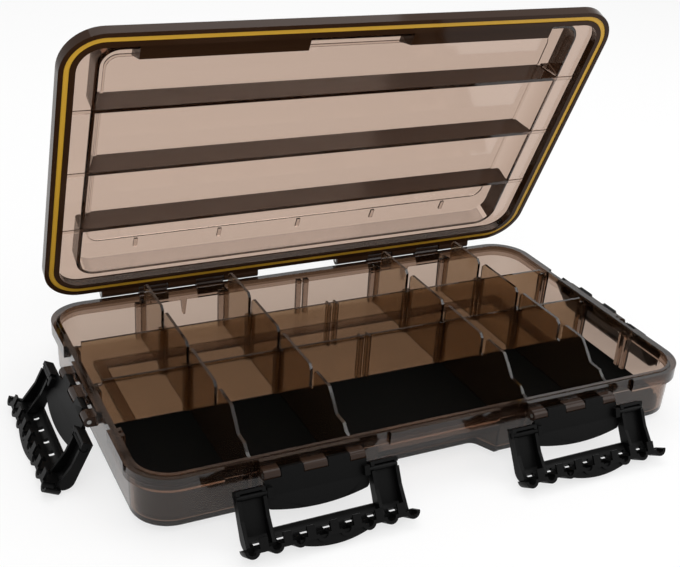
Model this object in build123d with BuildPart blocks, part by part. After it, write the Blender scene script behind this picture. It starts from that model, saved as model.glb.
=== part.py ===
"""Gasketed tackle box with a hinged lid, four draw latches and lift-out dividers.

Millimetres. +X runs along the case, +Y to the hinge side and +Z up. The origin is
the centre of the base underside. The lid stands open and the latches hang open.
"""
import os
from math import asin, atan2, cos, degrees, hypot, radians, sin

from build123d import *

os.makedirs("parts", exist_ok=True)

# Case outline and base tray, which stands on low rails
case_length = 345.0
case_width = 200.0
corner_radius = 24.0
base_height = 35.0
foot_height = 3.8
rail_inset = 24.0
rail_width = 6.0
wall = 2.4
wall_draft = 1.0
flange_height = 7.5
flange_overhang = 2.6
floor_thickness = 3.0
bottom_round = 1.5
tongue_width = 2.0
tongue_height = 0.5

# Shared working sizes: reach of a cut past a face, and depth a feature sinks into its carrier
overrun = 1.0
sink = 0.6

# Finger grip under the front wall, between the latches
grip_length = 78.0
grip_depth = 17.0
grip_height = 19.0
grip_lean = 9.0
grip_round = 6.0

# Guide ribs on the tray walls, and the mat on the floor
guide_rib = 3.0
guide_reach = 3.0
guide_drop = 3.0
mat_thickness = 2.0
mat_gap = 0.5

# Dividers: cross dividers stand at stations along X, panels in rows along Y
station_pitch = 56.0
row_pitch = 46.0
divider_thickness = 1.8
divider_rise = 14.6
divider_slip = 0.25
divider_end_gap = 0.3
divider_corner = 2.4
slot_floor_rise = 2.0
slot_gap = 0.6
front_shelf_rise = 3.4
front_shelf_length = 9.0
front_step_inset = 22.5
front_top_inset = 30.5
front_toe_drop = 1.5
front_toe_run = 3.5
front_shoulder_rise = 7.0
front_shoulder_inset = 25.5
back_top_inset = 15.5
panel_thickness = 1.8
panel_rise = 1.5
panel_notch_length = 4.0
panel_notch_drop = 3.0
post_rib = 1.4
post_reach = 2.4
thumb_rib_length = 10.0
thumb_rib_height = 0.8
thumb_rib_proud = 0.5
thumb_rib_pitch = 2.2
thumb_rib_inset = 25.0
thumb_ribs = 3

# Lid: a skirt and a flat shoulder round a raised crown
lid_open = 66.3
lid_height = 19.0
lid_wall = 2.0
skirt_height = 6.4
lip_width = 9.0
crown_side_inset = 20.5
crown_front_inset = 12.0
crown_radius = 13.0
crown_round = 2.0
rim_gap = 0.3
field_length = 287.0
field_width = 144.0
field_radius = 8.0
field_step = 0.8
rib_thickness = 2.4
rib_edge_rise = 4.0
tick_length = 7.0
tick_height = 1.2

# Gasket, pressed into a channel in the lid rim
gasket_width = 2.8
gasket_height = 2.2
gasket_inset = 4.3
gasket_side_gap = 0.15
gasket_recess = 0.5

# Pockets in the lid for the latch hooks, and the groove behind the lid edge that the claws drop into
pocket_length = 93.0
pocket_depth = 20.0
pocket_lean = 7.0
catch_length = 84.0
catch_bar = 1.6
catch_groove = 3.4
catch_depth = 1.8

# Hinges
hinge_offset = 82.5
hinge_reach = 3.4
hinge_rise = 2.2
hinge_barrel = 2.3
hinge_pin_radius = 1.1
hinge_length = 106.0
outer_bracket = 24.0
middle_bracket = 19.0
bracket_barrel = 3.2
bracket_gap = 0.5
gusset_width = 4.0
gusset_height = 11.0
gusset_tip = 1.2

# Latches: the lever turns on the case, the bail turns on the lever
latch_offset = 81.0
latch_axis_reach = 4.2
latch_axis_drop = 5.6
knuckle_radius = 3.0
middle_knuckle = 13.0
outer_knuckle_start = 19.5
outer_knuckle_end = 28.2
knuckle_gap = 0.4
latch_pin_radius = 1.2
pin_clearance = 0.06
notch_depth = 2.2
notch_gap = 1.5
lever_width = 57.0
lever_length = 16.4
lever_bow = 3.4
lever_plate = 2.4
lever_corner = 2.5
lever_crease = 10.3
lever_flare = 1.4
lever_ear = 3.0
lever_ear_height = 5.2
pivot_reach = 4.1
pivot_drop = 7.45
axle_radius = 1.7
axle_clearance = 0.08
axle_skin = 2.0

# Bail, with the latch closed and seen from its pivot: the arm rises, then the lip runs in
bail_half_width = 45.0
bail_plate = 2.0
arm_inner = 29.2
arm_back = 2.2
arm_front = 3.4
arm_end = 3.6
arm_end_wall = 1.5
arm_cheek = 2.0
cheek_step = 11.0
cheek_run = 5.0
clip_slot = 2.4
bar_start = 18.0
lip_under = 23.4
lip_rise = 0.7
lip_reach = 11.6
bend_radius = 4.0
comb_pitch = 12.6
comb_holes = 7
comb_hole_width = 4.6
comb_hole_turn = 40.0
comb_hole_middle = 62.0
lobe_radius = 4.0
lobe_start = 3.0
lobes = 8
flute_radius = 2.4
claw_width = 4.4
claw_length = 1.3
claw_depth = 5.2
tab_width = 38.0
tab_length = 5.8
tab_bow = 3.2
tab_thickness = 2.0
tab_inset = 3.0

# How far each lever hangs open from its closed place, and how far its bail hangs below level
lever_opens = {"front_left": 20.0, "front_right": 20.0, "left": 26.0, "right": 20.0}
bail_hangs = {"front_left": 59.0, "front_right": 59.0, "left": 64.0, "right": 59.0}

# Heights and half sizes worked out from the sizes above
floor_top = foot_height + floor_thickness
mat_top = floor_top + mat_thickness
mat_back = -panel_thickness / 2 - post_reach - mat_gap
lid_rim = base_height + rim_gap
lid_shoulder = lid_rim + skirt_height
lid_top = lid_rim + lid_height
plate_under = lid_top - lid_wall
divider_top = base_height + divider_rise
panel_top = base_height + panel_rise
slot_floor = base_height + slot_floor_rise
rib_edge = base_height + rib_edge_rise
half_length = case_length / 2
half_width = case_width / 2
wall_height = base_height - foot_height
draft_angle = degrees(atan2(wall_draft, wall_height))
crown_length = case_length - 2 * crown_side_inset
crown_width = case_width - 2 * crown_front_inset
shoulder_under = lid_shoulder - lid_wall
stations = [-2 * station_pitch, -station_pitch, station_pitch, 2 * station_pitch]
all_stations = [-2 * station_pitch, -station_pitch, 0, station_pitch, 2 * station_pitch]
rib_rows = [row_pitch, 0, -row_pitch]
panel_rows = {"rear": row_pitch, "middle": 0}
hinge_sides = {"left": -hinge_offset, "right": hinge_offset}
hinge_axis_y = half_width + hinge_reach
hinge_axis_z = base_height + hinge_rise
latch_axis_height = base_height - latch_axis_drop
latch_places = {
    "front_left": (Vector(-latch_offset, -half_width, 0), Vector(0, -1, 0)),
    "front_right": (Vector(latch_offset, -half_width, 0), Vector(0, -1, 0)),
    "left": (Vector(-half_length, 0, 0), Vector(-1, 0, 0)),
    "right": (Vector(half_length, 0, 0), Vector(1, 0, 0)),
}


def inner_inset(height):
    """Distance from the rim edge in to the tray wall's inner face, which leans with the draft."""
    return flange_overhang + wall + wall_draft * (base_height - height) / wall_height


def rounded(inset, gap=0):
    """The case outline, drawn in by an inset, as a sketch face."""
    inward = inset + gap
    RectangleRounded(case_length - 2 * inward, case_width - 2 * inward, corner_radius - inward)


def ring(inset, width):
    """A band that follows the case outline, centred on an inset from the rim edge."""
    rounded(inset - width / 2)
    with BuildSketch(mode=Mode.PRIVATE) as inside:
        rounded(inset + width / 2)
    add(inside.sketch, mode=Mode.SUBTRACT)


def spans(*edges):
    """Turn pairs of start and end into (middle, half length) pairs."""
    return [((start + end) / 2, (end - start) / 2) for start, end in edges]


def opened(plane):
    """Carry a plane of the closed lid round the hinge to where the lid stands open."""
    hinge = Vector(0, hinge_axis_y, hinge_axis_z)
    return Plane(
        origin=hinge + (plane.origin - hinge).rotate(Axis.X, -lid_open),
        x_dir=plane.x_dir.rotate(Axis.X, -lid_open),
        z_dir=plane.z_dir.rotate(Axis.X, -lid_open),
    )


def level(height):
    """A plane of the open lid, at a height of the closed lid."""
    return opened(Plane.XY.offset(height))


def side_plane(x):
    """A plane across the case at x, with local x along Y and local y along Z."""
    return Plane(origin=(x, 0, 0), x_dir=(0, 1, 0), z_dir=(1, 0, 0))


def latch_plane(name):
    """A latch's own plane: local x points out of the case, local y up, local z along its width."""
    foot, outward = latch_places[name]
    return Plane(origin=foot, x_dir=outward, z_dir=outward.cross(Vector(0, 0, 1)))


def turned(plane, x, y, angle):
    """A plane at a point of another plane, turned about its normal."""
    heading = plane.x_dir * cos(radians(angle)) + plane.y_dir * sin(radians(angle))
    return Plane(origin=plane.from_local_coords((x, y, 0)), x_dir=heading, z_dir=plane.z_dir)


def facing(plane, out=0):
    """The plane that looks out of a latch: local x across its width, local y up."""
    return Plane(
        origin=plane.from_local_coords((out, 0, 0)), x_dir=plane.z_dir * -1, z_dir=plane.x_dir
    )


def corner_box(x_start, x_end, y_start, y_end):
    """A rectangle given by its edges."""
    with Locations(((x_start + x_end) / 2, (y_start + y_end) / 2)):
        Rectangle(x_end - x_start, y_end - y_start)


def write(builder, name):
    """Label a finished piece and write its file."""
    builder.part.label = name
    export_step(builder.part, f"parts/{name}.step")


def grip_outline(front, gap=0):
    """The finger grip's plan: a trapezium with round inner corners, open to the front."""
    deep = -half_width + grip_depth + gap
    narrow = grip_length / 2 + gap - grip_lean
    wide = narrow + grip_lean * (deep - front) / (grip_depth + gap)
    with BuildLine() as plan:
        Polyline((-wide, front), (-narrow, deep), (narrow, deep), (wide, front), close=True)
    make_face(plan.edges())
    fillet(vertices().group_by(Axis.Y)[-1], grip_round)


# Latch knuckles on the case and barrels on the lever share one row along the pin
knuckle_spans = spans(
    (-middle_knuckle / 2, middle_knuckle / 2),
    (outer_knuckle_start, outer_knuckle_end),
    (-outer_knuckle_end, -outer_knuckle_start),
)
barrel_start = middle_knuckle / 2 + knuckle_gap
barrel_end = outer_knuckle_start - knuckle_gap
barrel_spans = spans((barrel_start, barrel_end), (-barrel_end, -barrel_start))

# Lid brackets and case knuckles share one row along each hinge pin
hinge_half = hinge_length / 2
case_knuckle_start = middle_bracket / 2 + bracket_gap
case_knuckle_end = hinge_half - outer_bracket - bracket_gap
bracket_spans = spans(
    (-hinge_half, outer_bracket - hinge_half),
    (-middle_bracket / 2, middle_bracket / 2),
    (hinge_half - outer_bracket, hinge_half),
)
case_knuckle_spans = spans(
    (-case_knuckle_end, -case_knuckle_start), (case_knuckle_start, case_knuckle_end)
)

# Pairs of guide ribs on the four walls hold the ends of the dividers and panels
guide_middle = (divider_thickness + 2 * divider_slip + guide_rib) / 2
guide_face = inner_inset(floor_top) + guide_reach
guide_root = inner_inset(base_height) - sink


def guide_ribs(gap=0, mode=Mode.ADD):
    """The guide ribs in plan, drawn larger by a gap all round."""
    across, depth = guide_rib + 2 * gap, guide_face - guide_root + 2 * gap
    inset = (guide_face + guide_root) / 2
    for side in (-guide_middle, guide_middle):
        with Locations(*[(x + side, half_width - inset) for x in all_stations]):
            Rectangle(across, depth, mode=mode)
        with Locations(*[(x + side, inset - half_width) for x in stations]):
            Rectangle(across, depth, mode=mode)
        with Locations(*[(end * (half_length - inset), row + side) for end in (-1, 1) for row in rib_rows]):
            Rectangle(depth, across, mode=mode)


# Base tray: a drafted shell with a rim flange, wall guides, latch and hinge knuckles
wall_foot_inset = flange_overhang + wall_draft
grip_skin_front = -half_width + wall_foot_inset + wall / 4
rail_length = case_length - 2 * rail_inset
rail_span = case_width - 2 * rail_inset
with BuildPart() as base_tray:
    with BuildSketch(Plane.XY.offset(foot_height)):
        rounded(wall_foot_inset)
    extrude(amount=wall_height, taper=-draft_angle)
    fillet(base_tray.edges().group_by(Axis.Z)[0], bottom_round)
    with BuildSketch(Plane.XY.offset(base_height - flange_height)):
        rounded(0)
    extrude(amount=flange_height)
    with BuildSketch(Plane.XY.offset(floor_top)):
        rounded(inner_inset(floor_top))
    extrude(amount=base_height - floor_top + overrun, taper=-draft_angle, mode=Mode.SUBTRACT)
    with BuildSketch():
        Rectangle(rail_length, rail_span)
        Rectangle(rail_length - 2 * rail_width, rail_span - 2 * rail_width, mode=Mode.SUBTRACT)
        Rectangle(rail_length, rail_width)
    extrude(amount=foot_height + sink)
    with BuildSketch(Plane.XY.offset(foot_height)):
        grip_outline(grip_skin_front, wall)
    extrude(amount=grip_height - foot_height + wall)
    with BuildSketch():
        grip_outline(-half_width - overrun)
    extrude(amount=grip_height, mode=Mode.SUBTRACT)
    with BuildSketch(Plane.XY.offset(base_height - sink)):
        ring(gasket_inset, tongue_width)
    extrude(amount=sink + tongue_height)

    with BuildSketch(Plane.XY.offset(floor_top - sink)):
        guide_ribs()
    extrude(amount=base_height - guide_drop - floor_top + sink)

    # Latch knuckles stand out of the flange, and the flange gives way to the bail arms
    for name in latch_places:
        plane = latch_plane(name)
        for middle, half in knuckle_spans:
            with BuildSketch(plane.offset(middle)):
                with Locations((latch_axis_reach, latch_axis_height)):
                    Circle(knuckle_radius)
                corner_box(
                    -sink,
                    latch_axis_reach,
                    latch_axis_height - knuckle_radius,
                    latch_axis_height + knuckle_radius,
                )
            extrude(amount=half, both=True)
        for middle, half in spans(
            (outer_knuckle_end, bail_half_width + notch_gap),
            (-bail_half_width - notch_gap, -outer_knuckle_end),
        ):
            with BuildSketch(plane.offset(middle)):
                corner_box(
                    -notch_depth, overrun, base_height - flange_height - overrun, base_height + overrun
                )
            extrude(amount=half, both=True, mode=Mode.SUBTRACT)
        with BuildSketch(plane):
            with Locations((latch_axis_reach, latch_axis_height)):
                Circle(latch_pin_radius + pin_clearance)
        extrude(amount=outer_knuckle_end + overrun, both=True, mode=Mode.SUBTRACT)

    # Hinge knuckles and the small gusset under the middle of each hinge
    for hinge_x in hinge_sides.values():
        for middle, half in case_knuckle_spans:
            with BuildSketch(side_plane(hinge_x + middle)):
                with Locations((hinge_axis_y, hinge_axis_z)):
                    Circle(hinge_barrel)
                with BuildLine():
                    Polyline(
                        (half_width - sink, base_height - flange_height),
                        (half_width, base_height - flange_height),
                        (hinge_axis_y + hinge_barrel, base_height),
                        (hinge_axis_y + hinge_barrel, hinge_axis_z),
                        (hinge_axis_y, hinge_axis_z),
                        (hinge_axis_y - hinge_barrel, base_height - tongue_height),
                        (half_width - sink, base_height - tongue_height),
                        close=True,
                    )
                make_face()
            extrude(amount=half, both=True)
        with BuildSketch(side_plane(hinge_x)):
            with Locations((hinge_axis_y, hinge_axis_z)):
                Circle(hinge_pin_radius + pin_clearance)
        extrude(amount=hinge_half, both=True, mode=Mode.SUBTRACT)
        gusset_top = base_height - flange_height + sink
        with BuildSketch(Plane.XZ.offset(-half_width)):
            with BuildLine():
                Polyline(
                    (hinge_x - gusset_width / 2, gusset_top),
                    (hinge_x - gusset_tip / 2, gusset_top - gusset_height),
                    (hinge_x + gusset_tip / 2, gusset_top - gusset_height),
                    (hinge_x + gusset_width / 2, gusset_top),
                    close=True,
                )
            make_face()
        extrude(amount=flange_overhang + wall_draft)
write(base_tray, "base_tray")

# Floor mat: a loose moulded sheet in the front row, cut round the wall guides and the finger grip
with BuildPart() as floor_mat:
    with BuildSketch(Plane.XY.offset(floor_top)):
        rounded(inner_inset(floor_top), mat_gap)
        guide_ribs(mat_gap, Mode.SUBTRACT)
        with BuildSketch(mode=Mode.PRIVATE) as grip_room:
            grip_outline(-half_width, wall + mat_gap)
        add(grip_room.sketch, mode=Mode.SUBTRACT)
        with Locations((0, mat_back + half_width / 2)):
            Rectangle(case_length, half_width, mode=Mode.SUBTRACT)
    extrude(amount=mat_thickness)
write(floor_mat, "floor_mat")


def rib_drift(row):
    """How far a lid rib moves back, in its slot, before it has risen clear of the divider."""
    reach = hypot(hinge_axis_y - row, rib_edge - hinge_axis_z)
    swing = asin((divider_top - rib_edge) / reach)
    return reach * (1 - cos(swing)) + (rib_edge - hinge_axis_z) * sin(swing)


def divider_points():
    """The cross divider's outline in Y and Z, from its foot at the back round to the front."""
    back_end = half_width - inner_inset(floor_top) - divider_end_gap
    front_end = half_width - inner_inset(mat_top) - divider_end_gap
    high_end = half_width - inner_inset(base_height - front_toe_drop) - divider_end_gap
    back = half_width - back_top_inset
    points = [(back_end, floor_top), (high_end, base_height - front_toe_drop), (back, base_height)]
    points += [(back, divider_top - divider_corner), (back - divider_corner, divider_top)]
    for row in rib_rows:
        front_side = row - rib_thickness / 2 - slot_gap
        back_side = row + rib_thickness / 2 + slot_gap + rib_drift(row)
        points += [(back_side + divider_corner, divider_top), (back_side, divider_top - divider_corner)]
        points += [(back_side, slot_floor), (front_side, slot_floor)]
        points += [(front_side, divider_top - divider_corner), (front_side - divider_corner, divider_top)]
    shelf = base_height + front_shelf_rise
    points += [(front_top_inset + divider_corner - half_width, divider_top)]
    points += [(front_top_inset - half_width, divider_top - divider_corner)]
    points += [(front_shoulder_inset - half_width, base_height + front_shoulder_rise)]
    step = front_step_inset - half_width
    points += [(step, shelf), (step - front_shelf_length, shelf)]
    points += [(step - front_shelf_length - front_toe_run, base_height)]
    points += [(-high_end, base_height - front_toe_drop), (-front_end, mat_top)]
    points += [(mat_back + mat_gap, mat_top), (mat_back + mat_gap, floor_top)]
    return points


# Cross dividers: slotted for the lid ribs, with grooved posts that hold the row panels
panel_groove = panel_thickness + 2 * divider_slip
post_middle = (panel_groove + post_rib) / 2
for number, station in enumerate(stations, start=1):
    with BuildPart() as cross_divider:
        with BuildSketch(Plane.YZ.offset(station)):
            with BuildLine():
                Polyline(*divider_points(), close=True)
            make_face()
        extrude(amount=divider_thickness / 2, both=True)
        with BuildSketch(Plane.XY.offset(floor_top)):
            for row in panel_rows.values():
                with Locations((station, row - post_middle), (station, row + post_middle)):
                    Rectangle(divider_thickness + 2 * post_reach, post_rib)
        extrude(amount=slot_floor - floor_top)
        for step in range(1, thumb_ribs + 1):
            with BuildSketch(Plane.YZ.offset(station)):
                with Locations((half_width - thumb_rib_inset, divider_top - step * thumb_rib_pitch)):
                    Rectangle(thumb_rib_length, thumb_rib_height)
            extrude(amount=divider_thickness / 2 + thumb_rib_proud, both=True)
    write(cross_divider, f"cross_divider_{number}")

# Row panels: short walls between the cross dividers, the wide ones with a mid guide
wall_end = half_length - inner_inset(floor_top) - divider_end_gap
panel_edges = [-wall_end, *stations, wall_end]
for row_name, row in panel_rows.items():
    for number in range(1, len(panel_edges)):
        at_left_wall = number == 1
        at_right_wall = number == len(panel_edges) - 1
        inset = divider_thickness / 2 + divider_end_gap
        start = panel_edges[number - 1] + (0 if at_left_wall else inset)
        end = panel_edges[number] - (0 if at_right_wall else inset)
        with BuildPart() as row_panel:
            with BuildSketch(Plane.XY.offset(floor_top)):
                corner_box(start, end, row - panel_thickness / 2, row + panel_thickness / 2)
                if start < 0 < end:
                    with Locations((-guide_middle, row), (guide_middle, row)):
                        Rectangle(post_rib, panel_thickness + 2 * post_reach)
            extrude(amount=panel_top - floor_top)
            if at_left_wall or at_right_wall:
                notch_start = start if at_left_wall else end - panel_notch_length
                notch_end = start + panel_notch_length if at_left_wall else end
                with BuildSketch(Plane.XZ.offset(-row)):
                    corner_box(notch_start, notch_end, panel_top - panel_notch_drop, panel_top)
                extrude(amount=panel_thickness, both=True, mode=Mode.SUBTRACT)
        write(row_panel, f"{row_name}_panel_{number}")


def pocket_section(start, floor, top, skin):
    """A pocket's section across the lid edge: flat floor, and an inner side that leans in to the top."""
    lean = pocket_lean / (lid_top - lid_shoulder)
    depths = [
        max(start + sink, pocket_depth + skin + lean * (height - lid_shoulder)) for height in (floor, top)
    ]
    with BuildLine() as section:
        Polyline((-start, floor), (-depths[0], floor), (-depths[1], top), (-start, top), close=True)
    make_face(section.edges())


# Lid: a skirt with the gasket channel, a raised crown, pockets for the hooks, ribs and brackets
lid_up = Axis((0, 0, 0), level(0).z_dir)
channel_width = gasket_width + 2 * gasket_side_gap
with BuildPart() as lid_shell:
    with BuildSketch(level(lid_rim)):
        RectangleRounded(crown_length, crown_width, crown_radius)
    extrude(amount=lid_height)
    fillet(lid_shell.edges().group_by(lid_up)[-1], crown_round)
    with BuildSketch(level(lid_rim)):
        rounded(0)
    extrude(amount=skirt_height)
    with BuildSketch(level(lid_top - sink)):
        RectangleRounded(field_length, field_width, field_radius)
    extrude(amount=sink + field_step)
    with BuildSketch(level(lid_rim - overrun)):
        rounded(lip_width)
    extrude(amount=shoulder_under - lid_rim + overrun, mode=Mode.SUBTRACT)
    with BuildSketch(level(lid_rim)):
        RectangleRounded(crown_length - 2 * lid_wall, crown_width - 2 * lid_wall, crown_radius - lid_wall)
    extrude(amount=plate_under - lid_rim, mode=Mode.SUBTRACT)
    with BuildSketch(level(plate_under - sink)):
        RectangleRounded(
            field_length - 2 * field_step, field_width - 2 * field_step, field_radius - field_step
        )
    extrude(amount=sink + field_step, mode=Mode.SUBTRACT)

    # Long ribs over the divider rows, low under the shoulder, and ticks at the stations
    for rib_half, rib_top in (
        (half_length - lip_width + sink, shoulder_under + sink),
        ((crown_length - lid_wall) / 2, plate_under + field_step + sink),
    ):
        with BuildSketch(level(rib_edge)):
            for row in rib_rows:
                corner_box(-rib_half, rib_half, row - rib_thickness / 2, row + rib_thickness / 2)
        extrude(amount=rib_top - rib_edge)
    with BuildSketch(level(plate_under - tick_height)):
        for x in all_stations:
            with Locations((x, (field_width + tick_length) / 2)):
                Rectangle(rib_thickness, tick_length)
    extrude(amount=tick_height + sink)

    # Pockets: a skin inside the crown, then the pocket itself cut from outside
    for name, (foot, outward) in latch_places.items():
        plane = opened(latch_plane(name))
        skin_start = (crown_front_inset if outward.Y else crown_side_inset) + lid_wall / 2
        with BuildSketch(plane):
            pocket_section(skin_start, shoulder_under, lid_top - lid_wall / 2, lid_wall)
        extrude(amount=pocket_length / 2 + lid_wall, both=True)
        with BuildSketch(plane):
            pocket_section(-overrun, lid_shoulder, lid_top + field_step + overrun, 0)
        extrude(amount=pocket_length / 2, both=True, mode=Mode.SUBTRACT)
        with BuildSketch(plane):
            corner_box(
                -catch_bar - catch_groove, -catch_bar, lid_shoulder - catch_depth, lid_shoulder + overrun
            )
        extrude(amount=catch_length / 2, both=True, mode=Mode.SUBTRACT)
    with BuildSketch(level(lid_rim - overrun)):
        ring(gasket_inset, channel_width)
    extrude(amount=overrun + gasket_recess + gasket_height, mode=Mode.SUBTRACT)

    # Hinge brackets, each running out from the skirt to its barrel
    for hinge_x in hinge_sides.values():
        for middle, half in bracket_spans:
            with BuildSketch(opened(side_plane(hinge_x + middle))):
                with Locations((hinge_axis_y, hinge_axis_z)):
                    Circle(bracket_barrel)
                with BuildLine():
                    Polyline(
                        (half_width - sink, lid_rim + rim_gap),
                        (half_width - sink, lid_shoulder - rim_gap),
                        (hinge_axis_y, hinge_axis_z + bracket_barrel),
                        (hinge_axis_y, hinge_axis_z - bracket_barrel),
                        close=True,
                    )
                make_face()
            extrude(amount=half, both=True)
        with BuildSketch(opened(side_plane(hinge_x))):
            with Locations((hinge_axis_y, hinge_axis_z)):
                Circle(hinge_pin_radius + pin_clearance)
        extrude(amount=hinge_half + overrun, both=True, mode=Mode.SUBTRACT)
write(lid_shell, "lid_shell")

# Gasket: a flat ring that lies in the lid channel
with BuildPart() as lid_gasket:
    with BuildSketch(level(lid_rim + gasket_recess)):
        ring(gasket_inset, gasket_width)
    extrude(amount=gasket_height)
write(lid_gasket, "lid_gasket")

# Hinge pins
for side, hinge_x in hinge_sides.items():
    with BuildPart() as hinge_pin:
        with BuildSketch(side_plane(hinge_x)):
            with Locations((hinge_axis_y, hinge_axis_z)):
                Circle(hinge_pin_radius)
        extrude(amount=hinge_half, both=True)
    write(hinge_pin, f"hinge_pin_{side}")



def bend_point(radius, turn):
    """A point of the bail's bend, from its radius and how far round it lies from the arm."""
    centre = arm_front - bail_plate - bend_radius
    return (centre + radius * cos(radians(turn)), lip_under - bend_radius + radius * sin(radians(turn)))


def bail_section():
    """The bail's plate in section: up the arm, round the bend and in along the lip."""
    inner = arm_front - bail_plate
    with BuildLine() as section:
        Polyline(
            (arm_front, bar_start),
            (arm_front, lip_under + bail_plate),
            (-lip_reach, lip_under + bail_plate + lip_rise),
            (-lip_reach, lip_under + lip_rise),
            (inner, lip_under),
            (inner, bar_start),
            close=True,
        )
    make_face(section.edges())
    fillet(vertices().sort_by_distance((arm_front, lip_under + bail_plate, 0))[0], bend_radius + bail_plate)
    fillet(vertices().sort_by_distance((inner, lip_under, 0))[0], bend_radius)


def cheek_outline():
    """A side of a bail arm: from the clip end down to the bend, whose plate closes it."""
    middle = bend_radius + bail_plate / 2
    with BuildLine() as side:
        Polyline(
            (arm_front, -arm_end),
            (arm_front, lip_under - bend_radius),
            *[bend_point(middle, turn) for turn in (0, 45, 90)],
            (-cheek_run, lip_under + bail_plate / 2),
            (-arm_back, cheek_step),
            (-arm_back, -arm_end),
            close=True,
        )
    make_face(side.edges())


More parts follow.
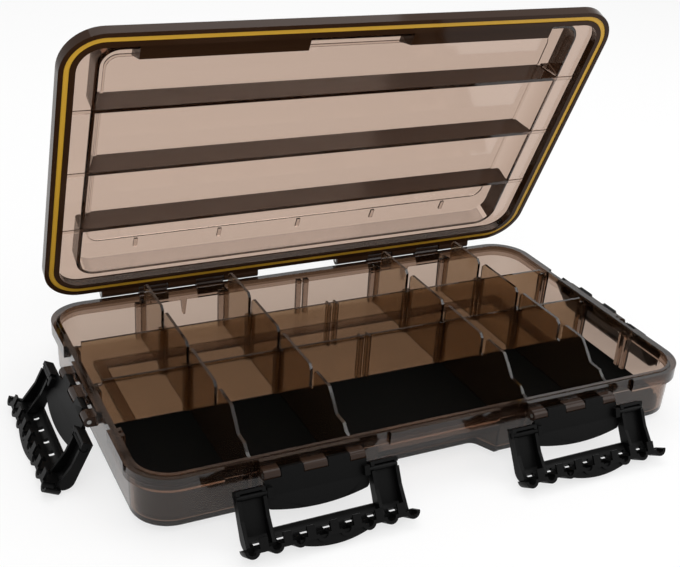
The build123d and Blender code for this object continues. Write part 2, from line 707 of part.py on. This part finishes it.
lobe_row = [(step - (lobes - 1) / 2) * comb_pitch for step in range(lobes)]
hole_row = [(step - (comb_holes - 1) / 2) * comb_pitch for step in range(comb_holes)]
for name in latch_places:
    base_plane = latch_plane(name)
    lever_plane = turned(base_plane, latch_axis_reach, latch_axis_height, lever_opens[name])
    pivot = base_plane.to_local_coords(lever_plane.from_local_coords(Vector(pivot_reach, -pivot_drop, 0)))
    bail_plane = turned(base_plane, pivot.X, pivot.Y, -90 - bail_hangs[name])

    # Lever: a plate that flares below its crease, two barrels on the pin, ears and stub axles
    lever_low = lever_length + lever_bow
    lever_back = knuckle_radius - lever_plate
    with BuildPart() as latch_lever:
        with BuildSketch(lever_plane):
            with BuildLine():
                Polyline(
                    (knuckle_radius, 0),
                    (knuckle_radius, -lever_crease),
                    (knuckle_radius + lever_flare, -lever_low),
                    (lever_back + lever_flare, -lever_low),
                    (lever_back, -lever_crease),
                    (lever_back, 0),
                    close=True,
                )
            make_face()
        extrude(amount=lever_width / 2, both=True)
        with BuildSketch(facing(lever_plane, -knuckle_radius)):
            with BuildLine():
                Polyline(
                    (lever_width / 2, -lever_length),
                    (lever_width / 2, 0),
                    (-lever_width / 2, 0),
                    (-lever_width / 2, -lever_length),
                )
                ThreePointArc(
                    (-lever_width / 2, -lever_length), (0, -lever_low), (lever_width / 2, -lever_length)
                )
            make_face()
            fillet(vertices().group_by(Axis.Y)[0], lever_corner)
        extrude(amount=3 * knuckle_radius, mode=Mode.INTERSECT)
        for middle, half in barrel_spans:
            with BuildSketch(lever_plane.offset(middle)):
                Circle(knuckle_radius)
                corner_box(0, knuckle_radius, 0, knuckle_radius)
            extrude(amount=half, both=True)
        for middle, half in knuckle_spans:
            with BuildSketch(lever_plane.offset(middle)):
                Circle(knuckle_radius + knuckle_gap)
            extrude(amount=half + knuckle_gap, both=True, mode=Mode.SUBTRACT)
        for middle, half in spans(
            (lever_width / 2 - lever_ear, lever_width / 2), (-lever_width / 2, lever_ear - lever_width / 2)
        ):
            with BuildSketch(lever_plane.offset(middle)):
                corner_box(
                    lever_back,
                    pivot_reach + axle_skin,
                    -pivot_drop - lever_ear_height / 2,
                    -pivot_drop + lever_ear_height / 2,
                )
            extrude(amount=half, both=True)
        axle_start = lever_width / 2 - lever_ear
        axle_end = bail_half_width - knuckle_gap
        for middle, half in spans((axle_start, axle_end), (-axle_end, -axle_start)):
            with BuildSketch(lever_plane.offset(middle)):
                with Locations((pivot_reach, -pivot_drop)):
                    Circle(axle_radius)
            extrude(amount=half, both=True)
        with BuildSketch(lever_plane):
            Circle(latch_pin_radius + pin_clearance)
        extrude(amount=lever_width, both=True, mode=Mode.SUBTRACT)
    write(latch_lever, f"latch_lever_{name}")

    # Bail: two channelled arms that clip on the axles, and a bent bar with a lobed lip between them
    with BuildPart() as latch_bail:
        for middle, half in spans((arm_inner, bail_half_width), (-bail_half_width, -arm_inner)):
            with BuildSketch(bail_plane.offset(middle)):
                cheek_outline()
            extrude(amount=half, both=True)
            with BuildSketch(bail_plane.offset(middle)):
                corner_box(
                    -lip_reach, arm_front - bail_plate, arm_end_wall - arm_end, lip_under + bail_plate
                )
            extrude(amount=half - arm_cheek, both=True, mode=Mode.SUBTRACT)
        with BuildSketch(bail_plane):
            bail_section()
        extrude(amount=bail_half_width, both=True)
        for middle, half in spans((arm_inner, bail_half_width), (-bail_half_width, -arm_inner)):
            with BuildSketch(bail_plane.offset(middle)):
                Circle(axle_radius + axle_clearance)
                corner_box(-arm_back - overrun, 0, -clip_slot / 2, clip_slot / 2)
            extrude(amount=half, both=True, mode=Mode.SUBTRACT)

        # Lobes on the lip, fluted from inside, with claws between them for the lid's groove
        lobe_line = lip_under + bail_plate / 2
        with BuildSketch(facing(bail_plane, -lip_reach)):
            for middle in lobe_row:
                with Locations((middle, lobe_line)):
                    Circle(lobe_radius)
            with Locations((0, lobe_line - lobe_radius)):
                Rectangle(4 * bail_half_width, 2 * lobe_radius, mode=Mode.SUBTRACT)
        extrude(amount=lip_reach - lobe_start)
        with BuildSketch(facing(bail_plane, -lip_reach - overrun)):
            for middle in lobe_row:
                with Locations((middle, lobe_line)):
                    Circle(flute_radius)
        extrude(amount=lip_reach + overrun - lobe_start - bail_plate, mode=Mode.SUBTRACT)
        for middle in hole_row:
            with BuildSketch(bail_plane.offset(middle)):
                claw_foot = lip_under + lip_rise - claw_depth
                corner_box(-lip_reach, claw_length - lip_reach, claw_foot, lobe_line + lip_rise)
            extrude(amount=claw_width / 2, both=True)
            with BuildSketch(bail_plane.offset(middle)):
                hole_reach = bend_radius + bail_plate + overrun
                with BuildLine():
                    Polyline(
                        bend_point(0, 0),
                        bend_point(hole_reach, comb_hole_middle - comb_hole_turn / 2),
                        bend_point(hole_reach, comb_hole_middle + comb_hole_turn / 2),
                        close=True,
                    )
                make_face()
            extrude(amount=comb_hole_width / 2, both=True, mode=Mode.SUBTRACT)
        tab_foot = lobe_line + lip_rise
        tab_top = tab_foot + tab_length
        with BuildSketch(facing(bail_plane, tab_inset - lip_reach)):
            with BuildLine():
                Polyline(
                    (-tab_width / 2, tab_top - tab_bow),
                    (-tab_width / 2, tab_foot),
                    (tab_width / 2, tab_foot),
                    (tab_width / 2, tab_top - tab_bow),
                )
                ThreePointArc(
                    (tab_width / 2, tab_top - tab_bow), (0, tab_top), (-tab_width / 2, tab_top - tab_bow)
                )
            make_face()
        extrude(amount=-tab_thickness)
    write(latch_bail, f"latch_bail_{name}")

    # Pin that runs through the case knuckles and the lever barrels
    with BuildPart() as latch_pin:
        with BuildSketch(base_plane):
            with Locations((latch_axis_reach, latch_axis_height)):
                Circle(latch_pin_radius)
        extrude(amount=outer_knuckle_end, both=True)
    write(latch_pin, f"latch_pin_{name}")
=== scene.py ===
"""Looks for the gasketed tackle box, in metres, in the frame of its CAD part."""

import math

import bpy
from mathutils import Matrix, Vector

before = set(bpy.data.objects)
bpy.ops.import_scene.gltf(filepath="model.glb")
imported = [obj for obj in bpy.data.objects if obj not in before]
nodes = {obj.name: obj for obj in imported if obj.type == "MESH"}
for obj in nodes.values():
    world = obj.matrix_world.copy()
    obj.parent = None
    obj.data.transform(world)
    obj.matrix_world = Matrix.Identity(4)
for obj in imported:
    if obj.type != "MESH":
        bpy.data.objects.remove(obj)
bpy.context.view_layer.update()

# Tray: the root moulding, with rim flange, wall guides and latch and hinge knuckles.
# Smoked clear polypropylene, injection moulded in polished tools. It tints by thickness, so a
# thin wall is light brown and an edge seen along its depth is nearly black.


def linear(hex_code, alpha=1.0):
    """An sRGB hex colour as linear values."""
    parts = [int(hex_code[i : i + 2], 16) / 255 for i in (0, 2, 4)]
    return [c / 12.92 if c <= 0.04045 else ((c + 0.055) / 1.055) ** 2.4 for c in parts] + [alpha]


def new_tree(name):
    """A material and its empty node tree."""
    material = bpy.data.materials.new(name)
    material.use_nodes = True
    material.node_tree.nodes.clear()
    return material, material.node_tree


def add_node(tree, kind, settings=None, links=None, props=None):
    """Adds a node, sets its sockets and properties, and links other nodes' outputs to it."""
    node = tree.nodes.new(kind)
    for key, value in (props or {}).items():
        setattr(node, key, value)
    for key, value in (settings or {}).items():
        node.inputs[key].default_value = value
    for key, output in (links or {}).items():
        tree.links.new(output, node.inputs[key])
    return node


def dress(names, material, edge_round=0.0):
    """Gives nodes a material, and a small moulded edge round where asked."""
    same_corner = 0.000002
    sharp_edge = math.radians(40)
    for name in names:
        piece = nodes[name]
        piece.data.materials.clear()
        piece.data.materials.append(material)
        if edge_round:
            joined = piece.modifiers.new("joined_corners", "WELD")
            joined.merge_threshold = same_corner
            edge = piece.modifiers.new("moulded_edge", "BEVEL")
            edge.width = edge_round
            edge.segments = 2
            edge.limit_method = "ANGLE"
            edge.angle_limit = sharp_edge


def smoked_resin(name, tint, density):
    """Clear smoked resin: a polished skin with a trace of haze, and a tint that grows with depth."""
    haze_share = 0.018
    material, tree = new_tree(name)
    skin = add_node(
        tree,
        "ShaderNodeBsdfPrincipled",
        {"Base Color": linear(tint), "Roughness": 0.07, "IOR": 1.49, "Transmission Weight": 1.0},
    )
    haze = add_node(tree, "ShaderNodeBsdfDiffuse", {"Color": linear("a97c5c")})
    surface = add_node(
        tree,
        "ShaderNodeMixShader",
        {0: haze_share},
        {1: skin.outputs["BSDF"], 2: haze.outputs["BSDF"]},
    )
    depth = add_node(tree, "ShaderNodeVolumeAbsorption", {"Color": linear("b39d89"), "Density": density})
    add_node(
        tree,
        "ShaderNodeOutputMaterial",
        links={"Surface": surface.outputs["Shader"], "Volume": depth.outputs["Volume"]},
    )
    return material, tree, skin


tray_clear, tray_density = "f6e8de", 430.0
smoked_tray, tree, skin = smoked_resin("smoked_polypropylene_moulded_tray", tray_clear, tray_density)

# The rim flange is thick, and above the flange foot its skin also gets a darker tint of painted shade, so
# it reads darker than the walls below it. The latch and hinge knuckles outside it are solid and nearly
# opaque.
full_shine, knuckle_blocked_share, knuckle_matt_share = 0.5, 0.85, 0.35
flange_foot = 0.0312
case_half = (0.1733, 0.1008, 1.0)
place = add_node(tree, "ShaderNodeTexCoord")
height = add_node(tree, "ShaderNodeSeparateXYZ", links={0: place.outputs["Object"]})
is_flange = add_node(
    tree, "ShaderNodeMath", {1: flange_foot}, {0: height.outputs["Z"]}, {"operation": "GREATER_THAN"}
)
quarter = add_node(
    tree, "ShaderNodeVectorMath", links={0: place.outputs["Object"]}, props={"operation": "ABSOLUTE"}
)
past_case = add_node(
    tree,
    "ShaderNodeVectorMath",
    {1: case_half},
    {0: quarter.outputs["Vector"]},
    {"operation": "SUBTRACT"},
)
past_sides = add_node(tree, "ShaderNodeSeparateXYZ", links={0: past_case.outputs["Vector"]})
furthest = add_node(
    tree,
    "ShaderNodeMath",
    links={0: past_sides.outputs["X"], 1: past_sides.outputs["Y"]},
    props={"operation": "MAXIMUM"},
)
is_knuckle = add_node(
    tree, "ShaderNodeMath", {1: 0.0}, {0: furthest.outputs[0]}, {"operation": "GREATER_THAN"}
)
# Painted shade: the flange and rim above the flange foot are tinted darker brown, 8c7766.
flange_shaded_tint = add_node(
    tree,
    "ShaderNodeMix",
    {6: linear(tray_clear), 7: linear("8c7766")},
    {0: is_flange.outputs[0]},
    {"data_type": "RGBA"},
)
tray_tint_with_shade = add_node(
    tree,
    "ShaderNodeMix",
    {7: linear("2a1d16")},
    {0: is_knuckle.outputs[0], 6: flange_shaded_tint.outputs[2]},
    {"data_type": "RGBA"},
)
knuckle_passing = add_node(
    tree,
    "ShaderNodeMath",
    {1: -knuckle_blocked_share, 2: 1.0},
    {0: is_knuckle.outputs[0]},
    {"operation": "MULTIPLY_ADD"},
)
knuckle_shine = add_node(
    tree,
    "ShaderNodeMath",
    {1: -knuckle_matt_share, 2: full_shine},
    {0: is_knuckle.outputs[0]},
    {"operation": "MULTIPLY_ADD"},
)
tree.links.new(tray_tint_with_shade.outputs[2], skin.inputs["Base Color"])
tree.links.new(knuckle_passing.outputs[0], skin.inputs["Transmission Weight"])
tree.links.new(knuckle_shine.outputs[0], skin.inputs["Specular IOR Level"])
dress(["base_tray"], smoked_tray)

# Dividers and row panels: loose thin walls that slide into guides.
# Smoked polypropylene, moulded thinner than the tray and tinted more to the same depth of colour.
divider_density = 520.0
smoked_divider, _, _ = smoked_resin("smoked_polypropylene_moulded_divider", "f2e5cc", divider_density)
dress([f"cross_divider_{n}" for n in range(1, 5)], smoked_divider)
dress([f"{row}_panel_{n}" for row in ("rear", "middle") for n in range(1, 6)], smoked_divider)

# Lid: one moulding with three long ribs, four pockets and the hinge brackets.
# The same smoked polypropylene. The ribs and end walls carry painted shade: a dark brown tint, less light
# passed than the plate and a duller skin. The thick lip and the two front pockets carry heavier painted
# shade and are nearly opaque.
lid_clear, lid_density = "f6e2d5", 370.0
smoked_lid, tree, skin = smoked_resin("smoked_polypropylene_moulded_lid", lid_clear, lid_density)
lid_angle = math.radians(66.3)
lid_forward = (0.0, -math.cos(lid_angle), math.sin(lid_angle))
facing_least_share = 0.8
place = add_node(tree, "ShaderNodeTexCoord")
across = add_node(tree, "ShaderNodeSeparateXYZ", links={0: place.outputs["Object"]})
forward_place = add_node(
    tree,
    "ShaderNodeVectorMath",
    {1: lid_forward},
    {0: place.outputs["Object"]},
    {"operation": "DOT_PRODUCT"},
)
forward_facing = add_node(
    tree,
    "ShaderNodeVectorMath",
    {1: lid_forward},
    {0: place.outputs["Normal"]},
    {"operation": "DOT_PRODUCT"},
)
facing_share = add_node(
    tree, "ShaderNodeMath", links={0: forward_facing.outputs["Value"]}, props={"operation": "ABSOLUTE"}
)
is_side = add_node(
    tree,
    "ShaderNodeMath",
    {1: facing_least_share},
    {0: facing_share.outputs[0]},
    {"operation": "GREATER_THAN"},
)
before_first_rib = 0.0325
past_rear = add_node(
    tree,
    "ShaderNodeMath",
    {1: before_first_rib},
    {0: forward_place.outputs["Value"]},
    {"operation": "GREATER_THAN"},
)
rear_share = 0.25
rib_share = add_node(
    tree,
    "ShaderNodeMath",
    {1: 1.0 - rear_share, 2: rear_share},
    {0: past_rear.outputs[0]},
    {"operation": "MULTIPLY_ADD"},
)
is_rib = add_node(
    tree,
    "ShaderNodeMath",
    links={0: is_side.outputs[0], 1: rib_share.outputs[0]},
    props={"operation": "MULTIPLY"},
)

# The lip runs round the lid 9 mm wide, with 24 mm corners.
lid_middle, lid_half_length, lid_half_width = 0.0959, 0.1725, 0.1
lip_corner, lip_width = 0.024, 0.009
corner_x, corner_y = lid_half_length - lip_corner, lid_half_width - lip_corner
lip_inside = lip_corner - lip_width
from_middle = add_node(
    tree, "ShaderNodeMath", {1: lid_middle}, {0: forward_place.outputs["Value"]}, {"operation": "SUBTRACT"}
)
plan = add_node(tree, "ShaderNodeCombineXYZ", links={0: across.outputs["X"], 1: from_middle.outputs[0]})
quarter = add_node(
    tree, "ShaderNodeVectorMath", links={0: plan.outputs["Vector"]}, props={"operation": "ABSOLUTE"}
)
past_corner = add_node(
    tree,
    "ShaderNodeVectorMath",
    {1: (corner_x, corner_y, 0.0)},
    {0: quarter.outputs["Vector"]},
    {"operation": "SUBTRACT"},
)
outside = add_node(
    tree,
    "ShaderNodeVectorMath",
    {1: (0.0, 0.0, 0.0)},
    {0: past_corner.outputs["Vector"]},
    {"operation": "MAXIMUM"},
)
reach = add_node(
    tree, "ShaderNodeVectorMath", links={0: outside.outputs["Vector"]}, props={"operation": "LENGTH"}
)
is_lip = add_node(
    tree, "ShaderNodeMath", {1: lip_inside}, {0: reach.outputs["Value"]}, {"operation": "GREATER_THAN"}
)

# Each front pocket is 97 mm long and 22.5 mm deep from the front edge.
pocket_middle, pocket_half, pocket_depth = 0.081, 0.0485, 0.0225
pocket_start = lid_middle + lid_half_width - pocket_depth
along = add_node(tree, "ShaderNodeSeparateXYZ", links={0: quarter.outputs["Vector"]})
in_length = add_node(
    tree,
    "ShaderNodeMath",
    {1: pocket_middle, 2: pocket_half},
    {0: along.outputs["X"]},
    {"operation": "COMPARE"},
)
in_depth = add_node(
    tree,
    "ShaderNodeMath",
    {1: pocket_start},
    {0: forward_place.outputs["Value"]},
    {"operation": "GREATER_THAN"},
)
is_pocket = add_node(
    tree,
    "ShaderNodeMath",
    links={0: in_length.outputs[0], 1: in_depth.outputs[0]},
    props={"operation": "MULTIPLY"},
)
is_thick_and_shaded = add_node(
    tree,
    "ShaderNodeMath",
    links={0: is_lip.outputs[0], 1: is_pocket.outputs[0]},
    props={"operation": "MAXIMUM"},
)

# The end walls get the painted shade and duller skin too, but not across the side pockets, which are as
# long as the front ones.
facing_end = add_node(tree, "ShaderNodeSeparateXYZ", links={0: place.outputs["Normal"]})
end_share = add_node(
    tree, "ShaderNodeMath", links={0: facing_end.outputs["X"]}, props={"operation": "ABSOLUTE"}
)
is_end = add_node(
    tree,
    "ShaderNodeMath",
    {1: facing_least_share},
    {0: end_share.outputs[0]},
    {"operation": "GREATER_THAN"},
)
past_pocket = add_node(
    tree, "ShaderNodeMath", {1: pocket_half}, {0: along.outputs["Y"]}, {"operation": "GREATER_THAN"}
)
is_end_wall = add_node(
    tree,
    "ShaderNodeMath",
    links={0: is_end.outputs[0], 1: past_pocket.outputs[0]},
    props={"operation": "MULTIPLY"},
)
is_dull_and_shaded = add_node(
    tree,
    "ShaderNodeMath",
    links={0: is_rib.outputs[0], 1: is_end_wall.outputs[0]},
    props={"operation": "MAXIMUM"},
)
# Painted shade: ribs and end walls tinted dark brown, 452f22.
rib_shaded_tint = add_node(
    tree,
    "ShaderNodeMix",
    {6: linear(lid_clear), 7: linear("452f22")},
    {0: is_dull_and_shaded.outputs[0]},
    {"data_type": "RGBA"},
)
# Painted shade: the thick lip and the front pockets tinted near black brown, 2e1c10.
lid_tint_with_shade = add_node(
    tree,
    "ShaderNodeMix",
    {7: linear("2e1c10")},
    {0: is_thick_and_shaded.outputs[0], 6: rib_shaded_tint.outputs[2]},
    {"data_type": "RGBA"},
)
# Painted shade: these shares block light through the shaded parts, so their dark tint shows, and dull their
# skin.
rib_dull_and_shade_share, blocked_share, matt_share = 0.6, 0.9, 0.42
rib_dull_and_shaded = add_node(
    tree, "ShaderNodeMath", {1: rib_dull_and_shade_share}, {0: is_dull_and_shaded.outputs[0]}, {"operation": "MULTIPLY"}
)
dull_and_shaded_share = add_node(
    tree,
    "ShaderNodeMath",
    links={0: is_thick_and_shaded.outputs[0], 1: rib_dull_and_shaded.outputs[0]},
    props={"operation": "MAXIMUM"},
)
passing = add_node(
    tree, "ShaderNodeMath", {1: -blocked_share, 2: 1.0}, {0: dull_and_shaded_share.outputs[0]}, {"operation": "MULTIPLY_ADD"}
)
shine = add_node(
    tree,
    "ShaderNodeMath",
    {1: -matt_share, 2: full_shine},
    {0: dull_and_shaded_share.outputs[0]},
    {"operation": "MULTIPLY_ADD"},
)
tree.links.new(lid_tint_with_shade.outputs[2], skin.inputs["Base Color"])
tree.links.new(passing.outputs[0], skin.inputs["Transmission Weight"])
tree.links.new(shine.outputs[0], skin.inputs["Specular IOR Level"])
dress(["lid_shell"], smoked_lid)

# Floor mat: a loose black sheet under the front row of compartments.
# Moulded EVA foam, matt and evenly black.
eva, tree = new_tree("black_eva_moulded")
foam = add_node(
    tree,
    "ShaderNodeBsdfPrincipled",
    {"Base Color": linear("060605"), "Roughness": 0.75, "IOR": 1.45, "Specular IOR Level": 0.06},
)
add_node(tree, "ShaderNodeOutputMaterial", links={"Surface": foam.outputs["BSDF"]})
dress(["floor_mat"], eva)

# Gasket: one gold ring that lies in the lid channel.
# Silicone rubber, moulded, with a soft sheen.
silicone, tree = new_tree("gold_silicone_moulded")
rubber = add_node(
    tree,
    "ShaderNodeBsdfPrincipled",
    {"Base Color": linear("d0a02c"), "Roughness": 0.5, "IOR": 1.42},
)
add_node(tree, "ShaderNodeOutputMaterial", links={"Surface": rubber.outputs["BSDF"]})
dress(["lid_gasket"], silicone)

# Latches: four levers and the bails that hang on them.
# Black acetal, injection moulded with a satin texture.
acetal, tree = new_tree("black_acetal_moulded")
satin = add_node(
    tree,
    "ShaderNodeBsdfPrincipled",
    {"Base Color": linear("060606"), "Roughness": 0.45, "IOR": 1.48, "Specular IOR Level": 0.1},
)
add_node(tree, "ShaderNodeOutputMaterial", links={"Surface": satin.outputs["BSDF"]})
latch_sides = ["front_left", "front_right", "left", "right"]
latch_edge = 0.0004
dress([f"latch_lever_{side}" for side in latch_sides], acetal, latch_edge)
dress([f"latch_bail_{side}" for side in latch_sides], acetal, latch_edge)

# Pins: steel wire through the hinge and latch knuckles.
# Drawn stainless wire, bright.
wire, tree = new_tree("drawn_stainless_steel")
steel = add_node(
    tree,
    "ShaderNodeBsdfPrincipled",
    {"Base Color": linear("b4b4b2"), "Metallic": 1.0, "Roughness": 0.3},
)
add_node(tree, "ShaderNodeOutputMaterial", links={"Surface": steel.outputs["BSDF"]})
dress(["hinge_pin_left", "hinge_pin_right"] + [f"latch_pin_{side}" for side in latch_sides], wire)

# Studio: a plain white floor and world, and three soft lamps.
# Rays that the eye follows see white, and the floor keeps a faint shadow.


def eye_rays(tree):
    """One for a ray seen straight, in a mirror or through clear resin, and nought for the rest."""
    rays = add_node(tree, "ShaderNodeLightPath")
    seen = add_node(
        tree,
        "ShaderNodeMath",
        links={0: rays.outputs["Is Camera Ray"], 1: rays.outputs["Is Glossy Ray"]},
        props={"operation": "ADD"},
    )
    return add_node(
        tree,
        "ShaderNodeMath",
        links={0: seen.outputs[0], 1: rays.outputs["Is Transmission Ray"]},
        props={"operation": "ADD", "use_clamp": True},
    )


floor_mesh = bpy.data.meshes.new("floor")
floor_reach, floor_drop, floor_white_share = 4.0, 0.0003, 0.72
floor_mesh.from_pydata(
    [(x, y, 0) for x, y in ((-floor_reach, -floor_reach), (floor_reach, -floor_reach),
                            (floor_reach, floor_reach), (-floor_reach, floor_reach))],
    [],
    [(0, 1, 2, 3)],
)
floor = bpy.data.objects.new("floor", floor_mesh)
bpy.context.scene.collection.objects.link(floor)
floor.location.z = -floor_drop
paper, tree = new_tree("white_paper_sweep")
seen_rays = eye_rays(tree)
kept_share = add_node(
    tree, "ShaderNodeMath", {1: floor_white_share}, {0: seen_rays.outputs[0]}, {"operation": "MULTIPLY"}
)
matt = add_node(tree, "ShaderNodeBsdfDiffuse", {"Color": linear("fafafa")})
glow = add_node(tree, "ShaderNodeEmission", {"Color": linear("ffffff"), "Strength": 1.0})
paper_mix = add_node(
    tree,
    "ShaderNodeMixShader",
    links={0: kept_share.outputs[0], 1: matt.outputs["BSDF"], 2: glow.outputs["Emission"]},
)
add_node(tree, "ShaderNodeOutputMaterial", links={"Surface": paper_mix.outputs["Shader"]})
floor_mesh.materials.append(paper)

world = bpy.data.worlds.new("studio")
bpy.context.scene.world = world
world.use_nodes = True
tree = world.node_tree
tree.nodes.clear()
seen_rays = eye_rays(tree)
fill = add_node(tree, "ShaderNodeBackground", {"Color": linear("ffffff"), "Strength": 0.55})
white = add_node(tree, "ShaderNodeBackground", {"Color": linear("ffffff"), "Strength": 1.0})
sky = add_node(
    tree,
    "ShaderNodeMixShader",
    links={0: seen_rays.outputs[0], 1: fill.outputs["Background"], 2: white.outputs["Background"]},
)
add_node(tree, "ShaderNodeOutputWorld", links={"Surface": sky.outputs["Shader"]})

lamp_aim_height = 0.06
for name, place, size, power in (
    ("key", (-0.6, -1.1, 1.5), 1.0, 8.0),
    ("fill", (1.2, -0.7, 1.1), 1.2, 9.0),
    ("top", (0.1, 0.5, 1.7), 1.4, 10.0),
):
    lamp = bpy.data.lights.new(name, "AREA")
    lamp.size = size
    lamp.energy = power
    lamp_object = bpy.data.objects.new(name, lamp)
    lamp_object.location = place
    aim = Vector((0, 0, lamp_aim_height)) - Vector(place)
    lamp_object.rotation_euler = aim.to_track_quat("-Z", "Y").to_euler()
    bpy.context.scene.collection.objects.link(lamp_object)

# Camera: the photograph's viewpoint, fitted to the case edges.
# The lens is for a 36 mm wide picture, and the two directions are squared up before use.
eye = bpy.data.cameras.new("eye")
eye_place = (-0.2935, -0.5262, 0.3585)
eye.sensor_width = 36.0
eye.lens = 59.175
eye_object = bpy.data.objects.new("eye", eye)
forward = Vector((0.41672, 0.79981, -0.43203)).normalized()
right = Vector((0.89902, -0.43298, 0.06558))
right = (right - forward * right.dot(forward)).normalized()
up = right.cross(forward)
turn = Matrix((right, up, -forward)).transposed().to_4x4()
eye_object.matrix_world = Matrix.Translation(eye_place) @ turn
bpy.context.scene.collection.objects.link(eye_object)
bpy.context.scene.camera = eye_object
bpy.context.scene.view_settings.view_transform = "Standard"
